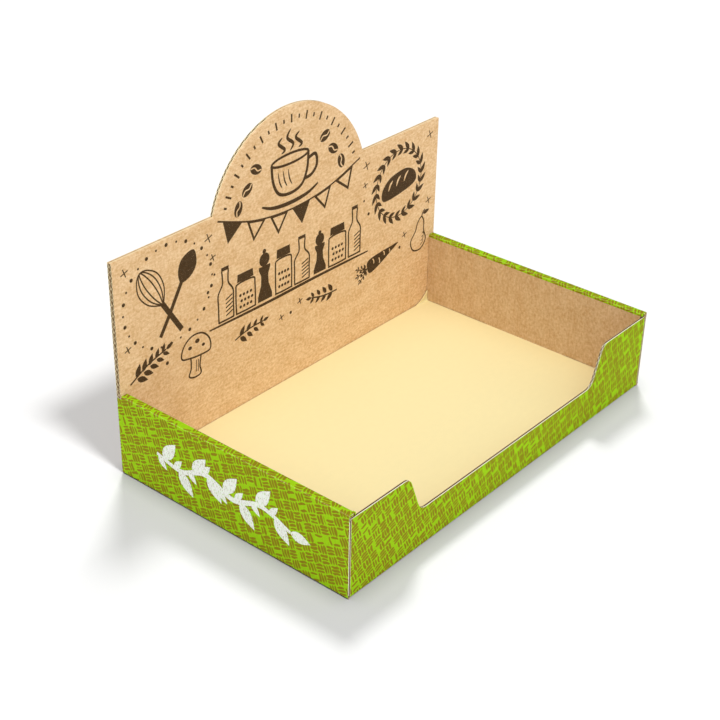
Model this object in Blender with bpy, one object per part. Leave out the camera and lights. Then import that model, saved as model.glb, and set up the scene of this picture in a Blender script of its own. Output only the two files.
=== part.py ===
"""Counter display tray of printed corrugated board, folded up from one cut blank, with a facing glued on its
header and a loose floor liner.

Metres, +Z up. The origin is on the counter under the middle of the tray, and the notched front faces -Y.
Every panel is drawn as it lies in the blank: X runs along its crease, Y leads away from the crease and Z
is the board's thickness, from the printed outside at 0 to the inside. Its origin is on the crease, on the
outside of the board, and its rotation folds it up. A panel is the child of the panel that it hangs on.
"""

import math

import bmesh
import bpy
from mathutils import Vector

# The board and its folds
BOARD = 0.0016
CLEARANCE = 0.00025
FOLD = math.radians(90)
FOLD_RADIUS = 0.0010
FOLD_SEGMENTS = 3

# The tray
TRAY_WIDTH = 0.300
TRAY_DEPTH = 0.181
WALL_HEIGHT = 0.056

# The front panel and its access notch
FRONT_DROP = 0.0014
LIP_HEIGHT = 0.026
NOTCH_FLOOR_WIDTH = 0.176
NOTCH_MOUTH_WIDTH = 0.197
NOTCH_FLOOR_RADIUS = 0.008
NOTCH_MOUTH_RADIUS = 0.0065

# The header, two boards thick: the back panel of the blank and the facing glued on its front
SHOULDER_HEIGHT = 0.1434
ARCH_RISE = 0.0514
ARCH_RADIUS = 0.0714
ARCH_STEPS = 40

# The corner tabs of the front panel and the header
TAB_LENGTH = 0.038
TAB_HEIGHT = 0.028
TAB_RADIUS = 0.012

# The feet of the inner walls, and the liner
FOOT_LENGTH = 0.067
FOOT_DEPTH = 0.0006
LINER = 0.0005
LINER_MARGIN = 0.0006
LINER_RADIUS = 0.003

FILLET_STEPS = 7
NEAR = 1e-6

# What follows from the sizes above
LEDGE_WIDTH = 3 * BOARD + 2 * CLEARANCE
PAST_FOLD = BOARD + CLEARANCE
PAST_HEADER = 2 * PAST_FOLD
BETWEEN_WALLS = TRAY_WIDTH - 2 * PAST_FOLD
BETWEEN_ENDS = TRAY_DEPTH - 2 * PAST_FOLD
INNER_LENGTH = TRAY_DEPTH - PAST_FOLD - PAST_HEADER
FRONT_HEIGHT = WALL_HEIGHT - BOARD - FRONT_DROP
LINER_BOTTOM = BOARD + CLEARANCE
FOOT_BOTTOM = LINER_BOTTOM + LINER + CLEARANCE


def clear_scene():
    for obj in list(bpy.data.objects):
        bpy.data.objects.remove(obj)


def finish(name, colour, roughness):
    """A plain Principled material."""
    material = bpy.data.materials.new(name)
    material.use_nodes = True
    shader = material.node_tree.nodes["Principled BSDF"]
    shader.inputs["Base Color"].default_value = (*colour, 1.0)
    shader.inputs["Roughness"].default_value = roughness
    shader.inputs["Metallic"].default_value = 0.0
    return material


def fillet(before, corner, after, radius):
    """The points of an arc that rounds off a corner of an outline."""
    corner = Vector(corner)
    back = (Vector(before) - corner).normalized()
    ahead = (Vector(after) - corner).normalized()
    half = back.angle(ahead) / 2
    centre = corner + (back + ahead).normalized() * radius / math.sin(half)
    start = corner + back * radius / math.tan(half) - centre
    sweep = math.pi - 2 * half
    turn = math.copysign(sweep, -back.x * ahead.y + back.y * ahead.x)
    points = []
    for step in range(FILLET_STEPS + 1):
        angle = turn * step / FILLET_STEPS
        cos, sin = math.cos(angle), math.sin(angle)
        points.append(centre + Vector((start.x * cos - start.y * sin, start.x * sin + start.y * cos)))
    return points


def rounded(corners):
    """An outline from its corners, each (x, y) or (x, y, radius), taken in order."""
    points = []
    count = len(corners)
    for i, (x, y, *radius) in enumerate(corners):
        if radius:
            points += fillet(corners[i - 1][:2], (x, y), corners[(i + 1) % count][:2], radius[0])
        else:
            points.append(Vector((x, y)))
    return points


def box_outline(width, start, end):
    """A rectangle centred along its crease."""
    half = width / 2
    return rounded([(-half, start), (half, start), (half, end), (-half, end)])


def sheet_mesh(name, outline, bottom, thickness, folds):
    """A flat sheet cut to the outline, with the outside edges at the given distances rounded as folds."""
    bm = bmesh.new()
    face = bm.faces.new([bm.verts.new((p.x, p.y, bottom)) for p in outline])
    raised = bmesh.ops.extrude_face_region(bm, geom=[face])["geom"]
    top = [v for v in raised if isinstance(v, bmesh.types.BMVert)]
    bmesh.ops.translate(bm, verts=top, vec=(0, 0, thickness))
    bmesh.ops.recalc_face_normals(bm, faces=bm.faces)
    for fold in folds:
        edges = [
            e for e in bm.edges
            if all(abs(v.co.y - fold) < NEAR and abs(v.co.z - bottom) < NEAR for v in e.verts)
        ]
        bmesh.ops.bevel(
            bm, geom=edges, offset=FOLD_RADIUS, offset_type="OFFSET", segments=FOLD_SEGMENTS,
            profile=0.5, affect="EDGES", material=-1,
        )
    mesh = bpy.data.meshes.new(name)
    bm.to_mesh(mesh)
    bm.free()
    return mesh


def panel(name, outline, material, parent=None, crease=(0, 0, 0), spin=0.0, fold=FOLD, folds=()):
    """One panel of the blank, hung on its parent at the crease, turned by spin and folded up."""
    mesh = sheet_mesh(name, outline, 0.0, BOARD, folds)
    mesh.materials.append(material)
    obj = bpy.data.objects.new(name, mesh)
    bpy.context.scene.collection.objects.link(obj)
    obj.parent = parent
    obj.location = crease
    obj.rotation_euler = (fold, 0.0, spin)
    return obj


def front_outline():
    """The front panel with its notch: two high ends, a sloping side to each, and the low lip between."""
    half = BETWEEN_WALLS / 2
    mouth = NOTCH_MOUTH_WIDTH / 2
    floor = NOTCH_FLOOR_WIDTH / 2
    return rounded([
        (-half, 0.0),
        (half, 0.0),
        (half, FRONT_HEIGHT),
        (mouth, FRONT_HEIGHT, NOTCH_MOUTH_RADIUS),
        (floor, LIP_HEIGHT, NOTCH_FLOOR_RADIUS),
        (-floor, LIP_HEIGHT, NOTCH_FLOOR_RADIUS),
        (-mouth, FRONT_HEIGHT, NOTCH_MOUTH_RADIUS),
        (-half, FRONT_HEIGHT),
    ])


def header_outline(neck, foot):
    """A board of the header: neck is half its width between the walls and foot its lower edge. Above the walls
    it is as wide as the tray, with a round arch on its shoulders."""
    wide = TRAY_WIDTH / 2
    seat = WALL_HEIGHT - BOARD
    centre = SHOULDER_HEIGHT + ARCH_RISE - ARCH_RADIUS
    first = math.asin((SHOULDER_HEIGHT - centre) / ARCH_RADIUS)
    arch = []
    for step in range(ARCH_STEPS + 1):
        angle = first + (math.pi - 2 * first) * step / ARCH_STEPS
        arch.append((ARCH_RADIUS * math.cos(angle), centre + ARCH_RADIUS * math.sin(angle)))
    return rounded([
        (-neck, foot),
        (neck, foot),
        (neck, seat),
        (wide, seat),
        (wide, SHOULDER_HEIGHT),
        *arch,
        (-wide, SHOULDER_HEIGHT),
        (-wide, seat),
        (-neck, seat),
    ])


def tab_outline(up):
    """A corner tab. up is 1 where the panel's height runs along the tab's X, and -1 where it runs against it."""
    low, high = PAST_FOLD * up, TAB_HEIGHT * up
    start, end = PAST_FOLD, PAST_FOLD + TAB_LENGTH
    return rounded([(low, start), (high, start), (high, end, TAB_RADIUS), (low, end)][::-up])


def inner_outline():
    """An inner wall, with the long shallow foot in the middle of its lower edge."""
    half = INNER_LENGTH / 2
    foot = FOOT_LENGTH / 2
    top = PAST_FOLD
    bottom = WALL_HEIGHT - FOOT_BOTTOM
    edge = bottom - FOOT_DEPTH
    return rounded([
        (-half, top), (half, top), (half, edge), (foot, edge),
        (foot, bottom), (-foot, bottom), (-foot, edge), (-half, edge),
    ])


def make_base(material):
    return panel(
        "base_panel", box_outline(BETWEEN_WALLS, -BETWEEN_ENDS / 2, BETWEEN_ENDS / 2), material, fold=0.0,
    )


def make_liner(material, base):
    """The loose sheet on the base, with rounded corners."""
    half = TRAY_WIDTH / 2 - LEDGE_WIDTH - LINER_MARGIN
    front = TRAY_DEPTH / 2 - PAST_FOLD - LINER_MARGIN
    back = TRAY_DEPTH / 2 - PAST_HEADER - LINER_MARGIN
    corners = [(-half, -front), (half, -front), (half, back), (-half, back)]
    outline = rounded([(x, y, LINER_RADIUS) for x, y in corners])
    mesh = sheet_mesh("floor_liner", outline, 0.0, LINER, ())
    mesh.materials.append(material)
    obj = bpy.data.objects.new("floor_liner", mesh)
    bpy.context.scene.collection.objects.link(obj)
    obj.parent = base
    obj.location = (0, 0, LINER_BOTTOM)


def make_tabs(names, material, parent):
    """The two tabs of an end panel. The first is at the end towards the panel's own +X."""
    for name, side in zip(names, (1, -1)):
        panel(
            name, tab_outline(-side), material, parent,
            crease=(side * BETWEEN_WALLS / 2, 0, 0), spin=-side * math.pi / 2,
        )


def make_front(material, inside, base):
    front = panel(
        "front_panel", front_outline(), material, base,
        crease=(0, -TRAY_DEPTH / 2, 0), spin=math.pi, folds=(0.0,),
    )
    make_tabs(("front_left_tab", "front_right_tab"), inside, front)


def make_header(printed, inside, base):
    header = panel(
        "header_panel", header_outline(BETWEEN_WALLS / 2, 0.0), inside, base,
        crease=(0, TRAY_DEPTH / 2, 0), folds=(0.0,),
    )
    panel(
        "header_facing", header_outline(BETWEEN_WALLS / 2 - PAST_FOLD, PAST_FOLD), printed, header,
        crease=(0, 0, PAST_FOLD), fold=0.0,
    )
    make_tabs(("back_right_tab", "back_left_tab"), inside, header)


def make_side(name, side, material, inside, base):
    """A roll-over wall: up the outside, across the top and down the inside. side is -1 left, 1 right."""
    ledge_length = TRAY_DEPTH - PAST_HEADER
    outer = panel(
        f"{name}_outer_wall", box_outline(TRAY_DEPTH, 0.0, WALL_HEIGHT - PAST_FOLD), material, base,
        crease=(side * TRAY_WIDTH / 2, 0, 0), spin=-side * math.pi / 2, folds=(0.0,),
    )
    ledge = panel(
        f"{name}_ledge", box_outline(ledge_length, 0.0, LEDGE_WIDTH), material, outer,
        crease=(side * PAST_HEADER / 2, WALL_HEIGHT, 0), folds=(0.0, LEDGE_WIDTH),
    )
    panel(
        f"{name}_inner_wall", inner_outline(), inside, ledge,
        crease=(-side * PAST_FOLD / 2, LEDGE_WIDTH, 0),
    )


def main():
    clear_scene()
    kraft = finish("kraft_board", (0.55, 0.30, 0.125), 0.85)
    printed_kraft = finish("printed_kraft_board", (0.62, 0.37, 0.17), 0.8)
    green = finish("green_printed_board", (0.30, 0.50, 0.01), 0.7)
    cream = finish("cream_liner", (0.99, 0.82, 0.43), 0.8)
    base = make_base(kraft)
    make_liner(cream, base)
    make_front(green, kraft, base)
    make_header(printed_kraft, kraft, base)
    make_side("left", -1, green, kraft, base)
    make_side("right", 1, green, kraft, base)


main()
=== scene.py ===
"""Looks of the counter display tray: corrugated boards, their folds and print, and the floor liner.

Metres, +Z up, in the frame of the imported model. Every board is drawn as it lies in the flat blank:
X runs along its crease, Y leads away from the crease, and Z goes from the printed outside at 0 to
the inside. It is then stood up at its crease. Its UV map keeps the place in the flat blank, so
fibres and print run on from board to board.
"""

import math

import bmesh
import bpy
from mathutils import Matrix, Vector
from mathutils.geometry import convex_hull_2d, delaunay_2d_cdt
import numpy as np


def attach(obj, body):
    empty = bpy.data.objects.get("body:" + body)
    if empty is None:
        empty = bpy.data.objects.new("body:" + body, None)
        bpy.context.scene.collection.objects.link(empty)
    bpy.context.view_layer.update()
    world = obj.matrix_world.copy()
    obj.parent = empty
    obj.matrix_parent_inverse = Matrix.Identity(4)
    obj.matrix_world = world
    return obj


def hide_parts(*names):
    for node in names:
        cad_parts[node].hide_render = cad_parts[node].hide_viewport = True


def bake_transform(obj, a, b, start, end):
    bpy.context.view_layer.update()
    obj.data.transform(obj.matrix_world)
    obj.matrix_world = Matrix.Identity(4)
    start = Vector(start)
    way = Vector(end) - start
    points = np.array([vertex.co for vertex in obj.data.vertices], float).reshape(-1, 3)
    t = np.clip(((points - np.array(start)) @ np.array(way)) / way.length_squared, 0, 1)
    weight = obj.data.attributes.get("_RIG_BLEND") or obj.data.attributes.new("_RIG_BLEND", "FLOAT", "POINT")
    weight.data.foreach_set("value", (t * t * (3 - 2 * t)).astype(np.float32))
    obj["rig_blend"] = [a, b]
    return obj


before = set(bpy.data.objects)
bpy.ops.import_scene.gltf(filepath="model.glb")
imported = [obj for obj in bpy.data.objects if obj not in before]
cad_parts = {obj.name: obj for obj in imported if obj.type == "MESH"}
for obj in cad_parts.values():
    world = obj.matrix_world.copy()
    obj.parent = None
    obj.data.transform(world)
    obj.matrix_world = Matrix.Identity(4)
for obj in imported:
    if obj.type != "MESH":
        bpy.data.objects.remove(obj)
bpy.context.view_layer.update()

MM = 0.001
UP = math.pi / 2

# A step that keeps faces apart, and how near counts as touching: in metres, and in the print's mm
NUDGE = 1e-6
TOUCH = 1e-7
PRINT_TOUCH = 1e-4

# The board: two liners with a fluted sheet between them
BOARD = 1.6 * MM
LINER = 0.22 * MM
FLUTE_SHEET = 0.36 * MM
FLUTE_PITCH = 3.5 * MM
FLUTE_SAMPLES = 10
FLUTE_INSET = 0.05 * MM
CRUSHED = 0.5 * MM
CLEARANCE = 0.25 * MM
PAST_FOLD = BOARD + CLEARANCE
PAST_HEADER = 2 * PAST_FOLD

# The tray
WIDTH = 300 * MM
DEPTH = 181 * MM
WALL = 56 * MM
LEDGE = 3 * BOARD + 2 * CLEARANCE
BETWEEN_WALLS = WIDTH - 2 * PAST_FOLD
BETWEEN_ENDS = DEPTH - 2 * PAST_FOLD
LEDGE_LENGTH = DEPTH - PAST_HEADER
INNER_LENGTH = DEPTH - PAST_FOLD - PAST_HEADER

# The front panel
FRONT_DROP = 1.4 * MM
FRONT_HEIGHT = WALL - BOARD - FRONT_DROP
LIP = 26 * MM
NOTCH_FLOOR = 176 * MM
NOTCH_MOUTH = 197 * MM
NOTCH_FLOOR_RADIUS = 8 * MM
NOTCH_MOUTH_RADIUS = 6.5 * MM

# The header
SEAT = WALL - BOARD
SHOULDER = 143.4 * MM
ARCH_RADIUS = 71.4 * MM
ARCH_RISE = 51.4 * MM
ARCH_CENTRE = SHOULDER + ARCH_RISE - ARCH_RADIUS
ARCH_STEPS = 90
BACK_SHUT = 0.96
FACING_SHUT = 0.0

# The corner tabs, and the feet of the inner walls
TAB_LENGTH = 38 * MM
TAB_HEIGHT = 28 * MM
TAB_RADIUS = 12 * MM
FOOT_LENGTH = 67 * MM
FOOT_DEPTH = 0.6 * MM
FOOT_GAP = 0.56 * MM
FOOT_BOTTOM = PAST_FOLD + FOOT_GAP

# The folds
FOLD_RADIUS = 1.0 * MM
FOLD_STEPS = 8
FOLD_REACH = 2.0 * MM
LEDGE_REACH = 1.5 * MM
TAB_FOLD_RADIUS = 0.5 * MM
TAB_BITE = 1.0 * MM
PINCH = 2.4 * MM
PINCHED = 0.55 * MM

# The floor liner
SHEET = 0.5 * MM
SHEET_MARGIN = 0.15 * MM
SHEET_RADIUS = 3 * MM
SHEET_LINES_X = (-0.1, 0.0, 0.1)
SHEET_LINES_Y = (-0.05, 0.0, 0.05)
FLAP_ROOM = 4 * MM
FLAP_LENGTH = 18 * MM
FLAP_LEAST = 0.05 * MM
FLAP_RISE = 8.5 * MM
FLAP_SWEEP = 2.2
FLAP_BEND = 1.2 * MM
FLAP_LEAN = 0.75
FLAP_SNAP = 3
FLAP_EASE = 0.6
FLAP_STEPS = 10

# The names of mesh layers, and the order of a board's finishes
BLANK = "blank"
CREST = "crest"
OUTSIDE, INSIDE, RAW, SHADED_FLUTE, INK = range(5)

# The papers and inks
# Two copies of the same kraft: the header's facing is painted paler, as the light it catches, and the rest
# darker, as painted shade.
SHADED_KRAFT_TONE = 0.87
LIT_FACING_TONE = 1.12
KRAFT_SHADE = (0.59, 0.362, 0.163)
KRAFT_LIGHT = (0.80, 0.575, 0.342)
KRAFT_FLECK = (0.42, 0.22, 0.085)
KRAFT_FIBRE = (0.92, 0.72, 0.46)
KRAFT_CUT = (0.95, 0.80, 0.48)
WHITE_CUT = (0.90, 0.84, 0.64)
# The flute brown is much darker than the kraft it is made of: painted shade for the hollows inside the
# board.
FLUTE_SHADE_BROWN = (0.20, 0.125, 0.055)
CREAM = (0.897, 0.786, 0.427)
BROWN_INK = (0.046, 0.024, 0.009)
LEAF_GREEN = (0.324, 0.597, 0.0073)
STROKE_BROWN = (0.267, 0.209, 0.0092)
THIN_PRINT = (0.60, 0.66, 0.20)
WORN_PRINT = (0.78, 0.70, 0.42)
WHITE_PAINT = (0.90, 0.92, 0.88)

# The basket weave on the green print
WEAVE_BLOCK = 6.2 * MM
WEAVE_LANES = 3.0
WEAVE_TILT = math.radians(-20)
WEAVE_WANDER = 0.28
LEFT_OUT = 0.10

# The rays under the arch, and the ring of beads on the header's left
RAYS = 23
RAYS_FROM = 21
RAYS_SWEEP = 138
BEADS = 28

# The light. A lamp has a name, the way to it, its spread in degrees, its level as a share of a
# white surface's brightness, and whether it leaves the floor out or lights the floor alone.
AMBIENT = 0.426
LAMPS = (
    ("key", (-0.50, -0.25, 0.83), 50, 0.475, "EXCLUDE"),
    ("front_fill", (0.05, -0.85, 0.50), 60, 0.23, "EXCLUDE"),
    ("top_fill", (0.0, -0.05, 1.0), 50, 0.15, "EXCLUDE"),
    ("floor_key", (-0.06, -0.54, 0.84), 10, 1.06, "INCLUDE"),
    ("floor_back", (0.45, 0.38, 0.82), 12, 0.90, "INCLUDE"),
)

# The floor, with a contact shadow painted into its colour: it darkens near what stands on it
FLOOR_HALF = 4.0
FLOOR_DROP = 0.3 * MM
FLOOR_GREY = 0.507
CONTACT_SHADOW_GREY = 0.25
CONTACT_SHADOW_REACH = 13 * MM

# The camera
CAMERA_AT = (-0.6411, -0.50287, 0.53212)
CAMERA_AHEAD = (0.66195, 0.54904, -0.51027)
CAMERA_RIGHT = (0.64638, -0.76281, 0.01775)
LENS = 75.661
SENSOR = 36.0


# Finishes

def add_node(tree, kind, fed=(), **settings):
    """Adds a node, feeds its inputs by name or number, and returns its outputs."""
    made = tree.nodes.new(kind)
    for key, value in settings.items():
        setattr(made, key, value)
    for key, value in dict(fed).items():
        feed(tree, made.inputs[key], value)
    return made.outputs


def feed(tree, socket, value):
    """Links a socket to another one, or sets its value."""
    if isinstance(value, bpy.types.NodeSocket):
        tree.links.new(value, socket)
    else:
        socket.default_value = value


class Finish:
    """A node material. Its methods add nodes, and most return the socket that has the result."""

    def __init__(self, name, roughness, specular=0.25):
        self.material = bpy.data.materials.new(name)
        self.material.use_nodes = True
        self.tree = self.material.node_tree
        self.surface("Roughness", roughness)
        self.surface("Specular IOR Level", specular)
        self.blank = self.add("UVMap", uv_map=BLANK)["UV"]

    def add(self, kind, fed=(), **settings):
        return add_node(self.tree, "ShaderNode" + kind, fed, **settings)

    def surface(self, name, value):
        feed(self.tree, self.tree.nodes["Principled BSDF"].inputs[name], value)

    def sum(self, operation, a, b=0.0):
        return self.add("Math", {0: a, 1: b}, operation=operation)[0]

    def plus(self, a, b):
        return self.sum("ADD", a, b)

    def minus(self, a, b):
        return self.sum("SUBTRACT", a, b)

    def times(self, a, b):
        return self.sum("MULTIPLY", a, b)

    def remap(self, value, low, high, to_low=0.0, to_high=1.0):
        return self.add("MapRange", enumerate((value, low, high, to_low, to_high)))[0]

    def parts(self, vector):
        return self.add("SeparateXYZ", {0: vector})

    def noise(self, along, across, detail=2.0, shift=0.0):
        """Cloudy noise whose grains are along by across metres."""
        scale = (1 / along, 1 / across, 1 / across)
        placed = self.add(
            "Mapping", {"Vector": self.blank, "Location": (shift, shift, shift), "Scale": scale},
        )[0]
        return self.add("TexNoise", {"Vector": placed, "Scale": 1.0, "Detail": detail})["Fac"]

    def mix(self, factor, a, b):
        return self.add("Mix", {0: factor, 6: a, 7: b}, data_type="RGBA")[2]

    def lighten(self, colour, value):
        return self.add("HueSaturation", {"Color": colour, "Value": value})[0]

    def bump(self, height, distance):
        self.surface("Normal", self.add("Bump", {"Distance": distance, "Height": height})[0])

    def colour(self, socket):
        self.surface("Base Color", socket)
        return self.material


def opaque(colour, tone=1.0):
    return (*(share * tone for share in colour), 1.0)


def fibre_mix(f):
    """Paper fibres: long ones along the sheet, shorter ones across it, and soft blotches."""
    along = f.noise(5.0 * MM, 0.5 * MM, 3.0)
    across = f.noise(0.5 * MM, 3.2 * MM, 3.0, 7.0)
    grain = f.noise(2.2 * MM, 1.7 * MM, 3.0, 13.0)
    blotch = f.noise(14 * MM, 9 * MM, 3.0, 3.0)
    fine = f.plus(f.times(along, 0.3), f.times(across, 0.25))
    fine = f.plus(fine, f.times(grain, 0.45))
    return f.plus(f.times(fine, 0.8), f.times(blotch, 0.2)), fine


def washboard(f):
    """The flutes that show faintly through a liner."""
    across = f.parts(f.blank)[1]
    return f.sum("SINE", f.times(across, 2 * math.pi / FLUTE_PITCH))


def kraft_colour(f, tone):
    """Bare kraft liner, with dark flecks and pale fibres. tone scales the paper's colours: a paler lit copy
    on the header's facing and a darker shaded copy elsewhere, as painted light and shade.
    """
    mixed, fine = fibre_mix(f)
    ribs = washboard(f)
    shade = f.plus(f.remap(mixed, 0.41, 0.59), f.times(ribs, 0.02))
    paper = f.mix(shade, opaque(KRAFT_SHADE, tone), opaque(KRAFT_LIGHT, tone))
    flecks = f.remap(f.noise(1.3 * MM, 0.7 * MM, 2.0, 11.0), 0.66, 0.74)
    paper = f.mix(f.times(flecks, 0.45), paper, opaque(KRAFT_FLECK, tone))
    pale = f.remap(f.noise(3.0 * MM, 0.4 * MM, 1.0, 17.0), 0.69, 0.78)
    paper = f.mix(f.times(pale, 0.35), paper, opaque(KRAFT_FIBRE, tone))
    f.bump(f.plus(fine, f.times(ribs, 0.5)), 0.05 * MM)
    return paper


def make_kraft(name, tone):
    f = Finish(name, 0.82)
    return f.colour(kraft_colour(f, tone))


def make_ink():
    """Dark brown ink on kraft: the fibres show through where it is thin."""
    f = Finish("brown_ink_on_kraft", 0.7, 0.06)
    # The paper under the ink is the facing's copy of the kraft, painted paler as light.
    paper = kraft_colour(f, LIT_FACING_TONE)
    thin = f.remap(f.noise(0.7 * MM, 0.5 * MM, 3.0, 23.0), 0.60, 0.74, 0.97, 0.55)
    return f.colour(f.mix(thin, paper, opaque(BROWN_INK)))


def stroke_mask(f):
    """A slanting basket weave: blocks of three short strokes, each block across the last, with a
    stroke left out here and there."""
    wander = f.times(f.minus(f.noise(4 * MM, 4 * MM, 1.0, 31.0), 0.5), WEAVE_WANDER)
    sway = f.times(f.minus(f.noise(4 * MM, 4 * MM, 1.0, 41.0), 0.5), WEAVE_WANDER)
    x, y = f.parts(f.blank)[:2]
    cos, sin = math.cos(WEAVE_TILT) / WEAVE_BLOCK, math.sin(WEAVE_TILT) / WEAVE_BLOCK
    a = f.plus(f.plus(f.times(x, cos), f.times(y, sin)), wander)
    b = f.plus(f.minus(f.times(y, cos), f.times(x, sin)), sway)
    row, column = f.sum("FLOOR", a), f.sum("FLOOR", b)
    turned = f.sum("FLOORED_MODULO", f.plus(row, column), 2.0)
    in_a, in_b = f.minus(a, row), f.minus(b, column)
    swap = f.times(turned, f.minus(in_b, in_a))
    length = f.plus(in_a, swap)
    breadth = f.minus(in_b, swap)
    lanes = f.times(breadth, WEAVE_LANES)
    lane = f.sum("FLOOR", lanes)
    spot = f.add("CombineXYZ", {0: row, 1: column, 2: lane})[0]
    chance = f.add("TexWhiteNoise", {"Vector": spot}, noise_dimensions="3D")["Value"]
    off_lane = f.sum("ABSOLUTE", f.minus(f.minus(lanes, lane), 0.5))
    from_middle = f.sum("ABSOLUTE", f.minus(f.times(length, 2.0), 1.0))
    reach = f.remap(chance, 0.0, 1.0, 0.80, 1.02)
    taper = f.minus(1.0, f.sum("POWER", f.sum("DIVIDE", from_middle, reach), 5.0))
    printed = f.remap(chance, LEFT_OUT, LEFT_OUT + 0.01)
    half = f.times(f.times(taper, printed), f.remap(chance, LEFT_OUT, 1.0, 0.31, 0.46))
    return f.remap(f.minus(half, off_lane), -0.03, 0.03)


def green_colour(f):
    """Leaf green print with fine brown strokes, worn pale where it is folded."""
    mixed, fine = fibre_mix(f)
    cover = f.remap(f.noise(0.6 * MM, 0.6 * MM, 2.0, 51.0), 0.62, 0.80, 0.0, 0.4)
    mottle = f.remap(mixed, 0.38, 0.62, 0.92, 1.08)
    leaf_green = f.lighten(opaque(LEAF_GREEN), mottle)
    brown = f.lighten(opaque(STROKE_BROWN), mottle)
    printed = f.mix(stroke_mask(f), leaf_green, brown)
    printed = f.mix(f.times(cover, 0.25), printed, opaque(THIN_PRINT))
    crest = f.add("Attribute", attribute_name=CREST)["Fac"]
    cracks = f.remap(f.noise(1.6 * MM, 0.5 * MM, 3.0, 61.0), 0.47, 0.62)
    worn = f.times(f.sum("POWER", crest, 3.0), cracks)
    printed = f.mix(f.times(worn, 0.5), printed, opaque(WORN_PRINT))
    f.bump(f.plus(fine, f.times(washboard(f), 0.35)), 0.03 * MM)
    return printed


def make_green():
    f = Finish("green_print", 0.75, 0.05)
    return f.colour(green_colour(f))


def make_white_brush():
    """White paint brushed over the green print: dry streaks let it through."""
    f = Finish("white_brush_on_green", 0.6)
    under = green_colour(f)
    streak = f.noise(2.6 * MM, 0.5 * MM, 3.0, 71.0)
    grain = f.noise(0.7 * MM, 0.7 * MM, 2.0, 81.0)
    wet = f.remap(f.plus(f.times(streak, 0.6), f.times(grain, 0.4)), 0.64, 0.52)
    return f.colour(f.mix(f.times(wet, 0.96), under, opaque(WHITE_PAINT)))


def make_rough_paper(name, colour, along, across, dark, pale):
    """Cut edges and flutes: a grain of along by across metres, from dark to pale."""
    f = Finish(name, 0.9, 0.1)
    grain = f.remap(f.noise(along, across), 0.3, 0.7, dark, pale)
    f.bump(grain, 0.03 * MM)
    return f.colour(f.lighten(opaque(colour), grain))


def make_cream():
    """Smooth cream paper with a faint cloudy formation."""
    f = Finish("cream_paper", 0.7, 0.2)
    cloud = f.noise(6 * MM, 4 * MM, 4.0)
    grain = f.noise(0.6 * MM, 0.35 * MM, 2.0, 5.0)
    mixed = f.plus(f.times(cloud, 0.5), f.times(grain, 0.5))
    f.bump(grain, 0.02 * MM)
    return f.colour(f.lighten(opaque(CREAM), f.remap(mixed, 0.3, 0.7, 0.985, 1.015)))


# Outlines

def vectors(points):
    return [Vector(p) for p in points]


def mirrored(half, middle=()):
    """Half a line, what lies in the middle, and the same half again on the other side of x = 0."""
    return [*half, *middle, *((-x, *rest) for x, *rest in half[::-1])]


def pairs_of(points, closed=True):
    """Each point and the next one. A closed line goes on from its last point to its first."""
    return list(zip(points, points[1:] + points[:1] if closed else points[1:]))


def around(x, y, turn, radius, stretch=1.0):
    """The point of a circle at a turn in radians. stretch is its height as a share of its width."""
    return Vector((x + radius * math.cos(turn), y + radius * stretch * math.sin(turn)))


def fillet(before, corner, after, radius, steps=10):
    """The points of an arc that rounds off a corner."""
    back = (before - corner).normalized()
    ahead = (after - corner).normalized()
    half = back.angle(ahead) / 2
    centre = corner + (back + ahead).normalized() * radius / math.sin(half)
    start = corner + back * radius / math.tan(half) - centre
    turn = math.copysign(math.pi - 2 * half, back.y * ahead.x - back.x * ahead.y)
    return [centre + Matrix.Rotation(turn * step / steps, 2) @ start for step in range(steps + 1)]


def rounded(corners):
    """An outline from its corners, each (x, y) or (x, y, radius)."""
    spots = [Vector(corner[:2]) for corner in corners]
    points = []
    for i, corner in enumerate(corners):
        if len(corner) == 3:
            points += fillet(spots[i - 1], spots[i], spots[(i + 1) % len(spots)], corner[2])
        else:
            points.append(spots[i])
    return points


def oblong(width, start, end):
    half = width / 2
    return rounded([(-half, start), (half, start), (half, end), (-half, end)])


def front_outline():
    half = BETWEEN_WALLS / 2
    right = [
        (half, FRONT_HEIGHT), (NOTCH_MOUTH / 2, FRONT_HEIGHT, NOTCH_MOUTH_RADIUS),
        (NOTCH_FLOOR / 2, LIP, NOTCH_FLOOR_RADIUS),
    ]
    return rounded([(-half, 0.0), (half, 0.0)] + mirrored(right))


def header_outline(neck, foot):
    """A board of the header: neck is half its width between the walls, and foot its lower edge."""
    wide = WIDTH / 2
    first = math.asin((SHOULDER - ARCH_CENTRE) / ARCH_RADIUS)
    sweep = math.pi - 2 * first
    turns = [first + sweep * step / ARCH_STEPS for step in range(ARCH_STEPS + 1)]
    arch = [around(0.0, ARCH_CENTRE, turn, ARCH_RADIUS) for turn in turns]
    right = [(neck, SEAT), (wide, SEAT), (wide, SHOULDER)]
    return rounded([(-neck, foot), (neck, foot)] + mirrored(right, arch))


def tab_outline(up):
    """A corner tab. up is 1 or -1, as +X leads up or down there."""
    low, high = PAST_FOLD * up, TAB_HEIGHT * up
    start, end = PAST_FOLD, PAST_FOLD + TAB_LENGTH
    return rounded([(low, start), (high, start), (high, end, TAB_RADIUS), (low, end)][::-up])


def bitten(outline):
    """An end panel's outline, bitten back at both sides where the liner turns into the tabs."""
    half = BETWEEN_WALLS / 2
    bite = half - TAB_BITE
    right = [(half, PAST_FOLD), (bite, PAST_FOLD), (bite, TAB_HEIGHT), (half, TAB_HEIGHT)]
    return outline[:2] + vectors(mirrored(right, outline[2:]))


def inner_outline():
    half, foot = INNER_LENGTH / 2, FOOT_LENGTH / 2
    bottom = WALL - FOOT_BOTTOM
    edge = bottom - FOOT_DEPTH
    right = [(half, edge), (foot, edge), (foot, bottom)]
    return rounded([(-half, PAST_FOLD), (half, PAST_FOLD)] + mirrored(right))


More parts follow.
